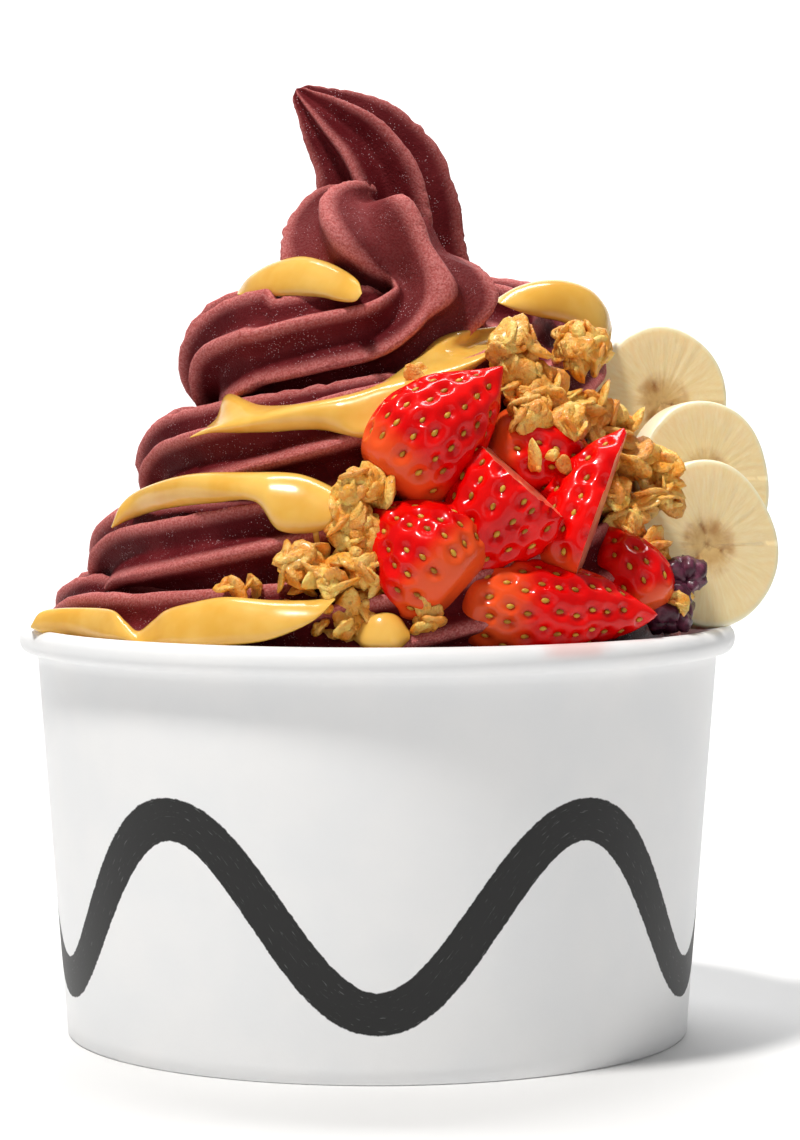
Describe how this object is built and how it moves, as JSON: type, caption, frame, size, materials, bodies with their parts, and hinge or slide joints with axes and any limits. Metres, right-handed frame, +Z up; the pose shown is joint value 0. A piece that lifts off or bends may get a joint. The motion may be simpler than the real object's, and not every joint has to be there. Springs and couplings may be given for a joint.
{
  "type": "frozen yogurt cup",
  "caption": "Paper tub heaped with a tall fluted soft-serve swirl, nut-butter sauce, cut strawberries, banana slices and granola clusters.",
  "frame": {"origin": "middle of the bounding box, on the plane the cup stands on; the cup's own axis is 3.6 mm to the left of it, because the banana slices hang out over the rim on the right", "axes": "+Z up, -Y towards the side with the strawberries, +X towards the banana slices"},
  "size_m": [0.1342, 0.127, 0.1675],
  "materials": {
    "paper": "smooth coated white board",
    "soft_serve": "frosty dark berry soft serve",
    "strawberry": "wet red fruit",
    "banana": "moist cream fruit",
    "granola": "honey-glazed toasted oats",
    "crush": "dark crushed fruit"
  },
  "bodies": {
    "root": {"cup": "paper", "soft_serve": "soft_serve", "strawberry_1": "strawberry", "strawberry_2": "strawberry", "strawberry_3": "strawberry", "strawberry_4": "strawberry", "strawberry_5": "strawberry", "strawberry_6": "strawberry", "strawberry_7": "strawberry", "banana_slice_1": "banana", "banana_slice_2": "banana", "banana_slice_3": "banana", "granola_top": "granola", "granola_middle": "granola", "granola_low": "granola", "granola_loose_1": "granola", "granola_loose_2": "granola", "granola_loose_3": "granola", "granola_loose_4": "granola", "granola_loose_5": "granola", "granola_loose_6": "granola", "berry_crush": "crush"}
  },
  "joints": []
}
